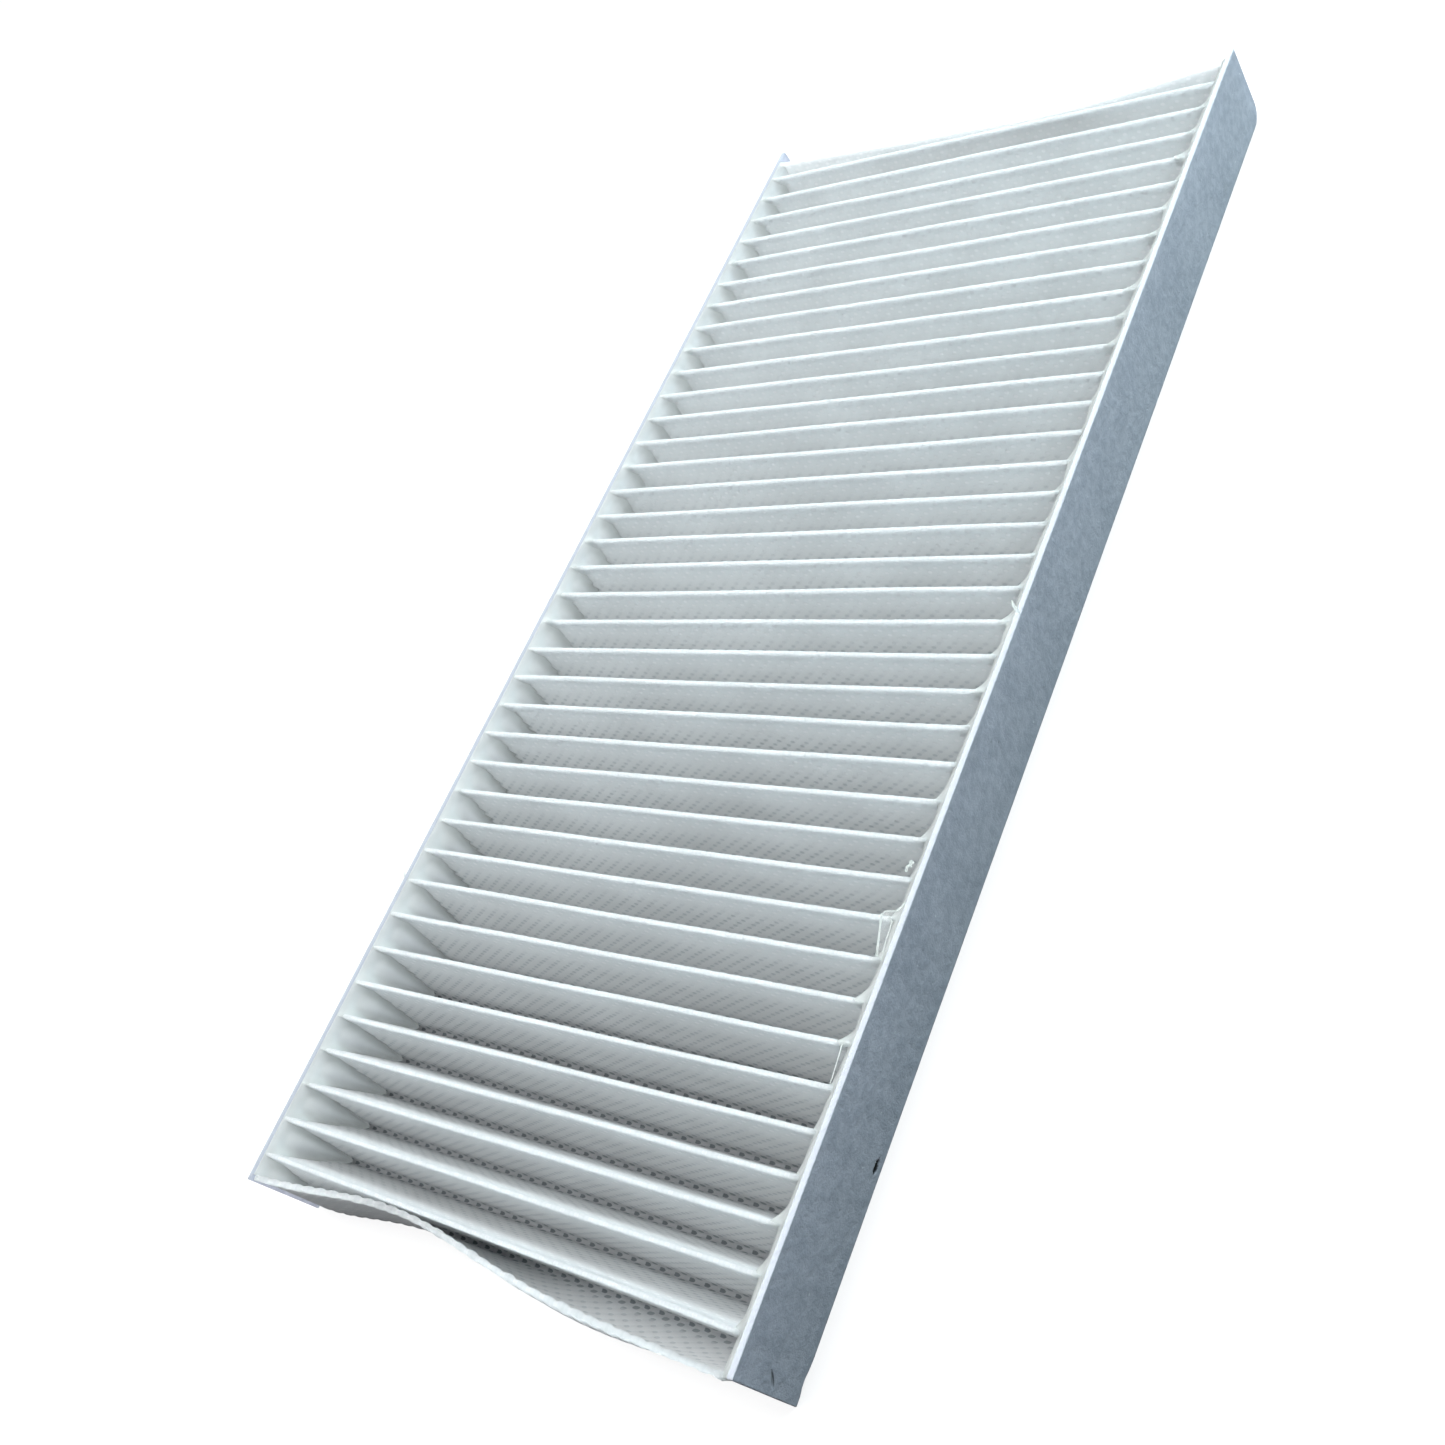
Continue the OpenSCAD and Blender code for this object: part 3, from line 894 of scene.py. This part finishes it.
def loose_glue(sizes, surface):
    """Threads, a web and drops that the glue left on top beside the right band, and a burr on each side."""
    bm = bmesh.new()
    for points, lift, widths in (
            (WEB_STRAND, 0.05, (1.8, 1.4, 1.3, 1.4, 1.8)), (WEB_EDGE, 0.0, (1.3, 1.0, 0.9, 1.0, 1.2, 1.2)),
            (WEB_FOLD, -0.1, (0.7, 0.8, 0.8, 0.8, 0.8, 0.9, 1.0)), (THREAD, 0.0, (0.8, 0.6, 0.6, 0.9)),
            (CURL, 0.1, (1.5, 1.9, 1.8, 1.3)), (BURR, 0.05, (1.0, 2.4, 2.2, 0.7)),
            (LEFT_BURR, -0.2, (1.6, 1.8, 0.6))):
        tube(bm, glue_places(points, lift * MM), [sizes.thread * width for width in widths])
    for place, size, turn in BLOBS:
        drop(bm, glue_places([place], 0.0)[0], [v * MM for v in size], turn)
    return finish_piece(bm, "loose_glue", surface)


def glue_web(sizes, surface):
    """The clear film that is stretched between two ridges and the glue line."""
    bm = bmesh.new()
    film(bm, WEB_FILM, PACK_TOP - 0.2 * MM, sizes.film)
    return finish_piece(bm, "glue_web", surface, smooth=False)


# The stage


def turned(place, aim, roll):
    """Where a camera or lamp stands, looking at a point."""
    look = (Vector(aim) - Vector(place)).to_track_quat("-Z", "Y").to_matrix().to_4x4()
    return Matrix.Translation(place) @ look @ Matrix.Rotation(roll, 4, "Z")


def add_camera(stage):
    data = bpy.data.cameras.new("camera")
    data.lens = stage.lens
    data.sensor_width = 36.0
    data.shift_x, data.shift_y = stage.shift_x, stage.shift_y
    data.clip_start, data.clip_end = 0.01, 20.0
    camera = add_object("camera", data)
    camera.matrix_world = turned(stage.place, stage.aim, stage.roll)
    bpy.context.scene.camera = camera


def limit_bounces():
    """Pale cloth passes light on for long, and the last bounces no longer show."""
    cycles = bpy.context.scene.cycles
    cycles.max_bounces = 8
    cycles.diffuse_bounces = 4


def add_softbox(name, power, place, aim, size, tint):
    data = bpy.data.lights.new(name, "AREA")
    data.shape = "RECTANGLE"
    data.size, data.size_y = size
    data.energy = power
    data.color = tint
    add_object(name, data).matrix_world = turned(place, aim, 0.0)


def seen_directly(n):
    """1 for rays from the camera, a mirror or clear glass, and 0 for light that falls on the part."""
    path = n.add("ShaderNodeLightPath").outputs
    seen = n.math("MAXIMUM", path["Is Camera Ray"], path["Is Glossy Ray"])
    seen = n.math("MAXIMUM", seen, path["Is Transmission Ray"])
    return n.times(seen, n.minus(1.0, path["Is Diffuse Ray"]))


def floor_material():
    """A white floor that keeps the part's shadow, and throws little light back up."""
    n = Nodes(bpy.data.materials.new("studio_floor"))
    glow = n.add("ShaderNodeEmission", {"Color": WHITE, "Strength": 0.78})
    white = n.add("ShaderNodeBsdfDiffuse", {"Color": rgba((0.25, 0.25, 0.25))})
    shown = n.add("ShaderNodeAddShader", {0: glow.outputs[0], 1: white.outputs[0]})
    grey = n.add("ShaderNodeBsdfDiffuse", {"Color": rgba((0.07, 0.073, 0.077))})
    return n.close(n.blend(seen_directly(n), grey, shown))


def add_floor():
    bm = bmesh.new()
    bmesh.ops.create_grid(bm, x_segments=1, y_segments=1, size=3.0)
    mesh = bpy.data.meshes.new("floor")
    bm.to_mesh(mesh)
    bm.free()
    mesh.materials.append(floor_material())
    floor = add_object("floor", mesh)


def set_world(stage):
    world = bpy.data.worlds.new("studio")
    bpy.context.scene.world = world
    n = Nodes(world, "ShaderNodeOutputWorld")
    toward = n.split(n.add("ShaderNodeTexCoord").outputs["Generated"])
    above = n.step(toward["Z"], 0.3, 0.75)
    shaded = n.times(n.step(toward["X"], 0.0, 0.45), stage.shade)
    near = n.times(n.step(toward["Y"], -0.2, -0.7), 0.7)
    level = n.times(above, n.minus(1.0, n.math("MAXIMUM", shaded, near)))
    level = n.plus(n.times(level, stage.sky), stage.ground)
    soft = n.add("ShaderNodeBackground", {"Color": rgba(stage.sky_tint), "Strength": level})
    white = n.add("ShaderNodeBackground", {"Color": WHITE, "Strength": 1.0})
    n.close(n.blend(seen_directly(n), soft, white))


# Operators and panel


# Softboxes, as (name, place, point it looks at, width and length, colour)
SOFTBOXES = (
    ("overhead", (-0.25, 0.35, 1.0), (0.0, 0.0, 0.0), (1.0, 1.0), (1.0, 1.0, 1.0)),
    ("far", (-0.3, 0.9, 0.95), (0.0, 0.0, 0.0), (1.0, 0.8), (0.97, 0.99, 1.0)),
    ("near", (-0.3, -0.15, 1.15), (0.0, 0.0, 0.0), (0.9, 0.7), (1.0, 1.0, 1.0)),
    ("left", (-0.8, 0.2, 0.3), (-0.07, 0.02, 0.0), (0.9, 0.4), (0.98, 1.0, 0.99)),
    ("corner", (0.45, 0.5, 0.3), (0.07, 0.1, 0.0), (0.25, 0.25), (0.78, 0.98, 1.05)),
)


class FILTER_OT_stage(bpy.types.Operator):
    """Set up the camera, the lamps, the floor and the background"""

    bl_idname = "filter.stage"
    bl_label = "Stage"

    def execute(self, context):
        stage = context.scene.filter_stage
        context.scene.view_settings.view_transform = "Standard"
        add_camera(stage)
        limit_bounces()
        for name, *settings in SOFTBOXES:
            add_softbox(name, getattr(stage, name), *settings)
        add_floor()
        set_world(stage)
        return {"FINISHED"}


class FILTER_OT_sheet(bpy.types.Operator):
    """Fold the fibre sheet"""

    bl_idname = "filter.sheet"
    bl_label = "Folded sheet"

    def execute(self, context):
        scene = context.scene
        plan = FoldPlan(scene.filter_sheet)
        surface = sheet_material(scene.filter_colours, plan.sizes.rows_per_panel, plan.last_row)
        sheet = folded_sheet(plan, surface)
        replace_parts(sheet, "pleated_media")
        return {"FINISHED"}


class FILTER_OT_bands(bpy.types.Operator):
    """Cut the two felt bands"""

    bl_idname = "filter.bands"
    bl_label = "Felt bands"

    def execute(self, context):
        scene = context.scene
        for side in ("right", "left"):
            surface = felt_material(scene.filter_colours, scene.filter_band, side == "right")
            felt_band(scene.filter_band, surface, side)
        return {"FINISHED"}


class FILTER_OT_glue(bpy.types.Operator):
    """Lay the two glue lines and the loose glue on them"""

    bl_idname = "filter.glue"
    bl_label = "Glue"

    def execute(self, context):
        scene = context.scene
        surface = glue_material(scene.filter_colours)
        for side in ("right", "left"):
            glue_line(scene.filter_glue, FoldPlan(scene.filter_sheet), surface, side)
        loose_glue(scene.filter_glue, surface)
        glue_web(scene.filter_glue, film_material(scene.filter_colours))
        return {"FINISHED"}


class FILTER_PT_panel(bpy.types.Panel):
    """The filter's pieces, in the order in which they are made"""

    bl_idname = "FILTER_PT_panel"
    bl_label = "Pleated Cabin Filter"
    bl_space_type = "VIEW_3D"
    bl_region_type = "UI"
    bl_category = "Filter"

    def draw(self, context):
        for operator in OPERATORS:
            self.layout.operator(operator.bl_idname, text=operator.bl_label)
        for settings in PROPERTIES:
            group = getattr(context.scene, settings)
            box = self.layout.box()
            for name in group.bl_rna.properties.keys():
                if name not in ("rna_type", "name"):
                    box.prop(group, name)


OPERATORS = (FILTER_OT_stage, FILTER_OT_sheet, FILTER_OT_bands, FILTER_OT_glue)
PROPERTIES = {
    "filter_sheet": SheetSizes,
    "filter_band": BandSizes,
    "filter_glue": GlueSizes,
    "filter_colours": FilterColours,
    "filter_stage": StageSettings,
}
CLASSES = (*PROPERTIES.values(), *OPERATORS, FILTER_PT_panel)


def register():
    for cls in CLASSES:
        bpy.utils.register_class(cls)
    for name, group in PROPERTIES.items():
        setattr(bpy.types.Scene, name, PointerProperty(type=group))


def unregister():
    for name in PROPERTIES:
        delattr(bpy.types.Scene, name)
    for cls in reversed(CLASSES):
        bpy.utils.unregister_class(cls)


def main():
    register()
    bpy.ops.filter.stage()
    bpy.ops.filter.sheet()
    bpy.ops.filter.bands()
    bpy.ops.filter.glue()


if __name__ == "__main__":
    main()
